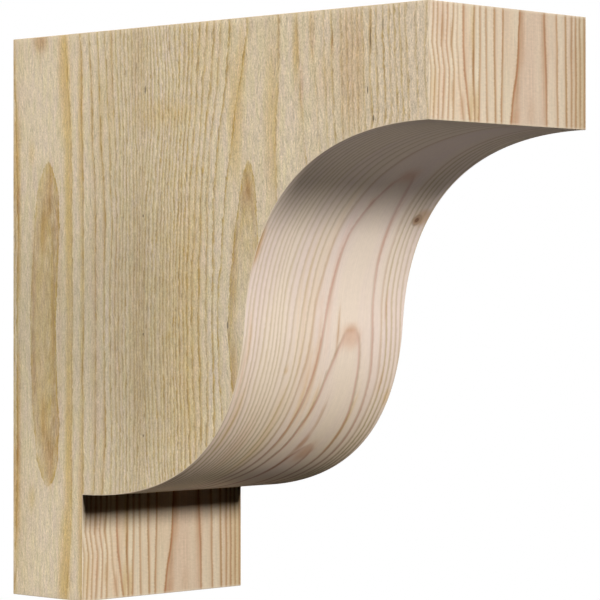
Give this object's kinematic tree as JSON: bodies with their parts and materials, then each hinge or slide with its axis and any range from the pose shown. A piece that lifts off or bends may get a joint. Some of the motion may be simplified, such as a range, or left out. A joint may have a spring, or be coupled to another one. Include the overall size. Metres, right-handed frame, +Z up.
{
  "type": "wooden corbel bracket",
  "caption": "Solid timber corbel with a square nose, a square leg and an S curve cut between them, fixed to a wall to carry a shelf, beam or mantel.",
  "frame": {"origin": "middle of the back face, which lies flat against the wall", "axes": "+Y into the wall, -Y the way the corbel reaches out, +Z up, +X to the right of someone who faces the nose"},
  "size_m": [0.1396, 0.3556, 0.3556],
  "materials": {
    "softwood": "bare timber, rough sawn sides and a sanded S face, with straight vertical grain"
  },
  "bodies": {
    "root": {"corbel": "softwood"}
  },
  "joints": []
}
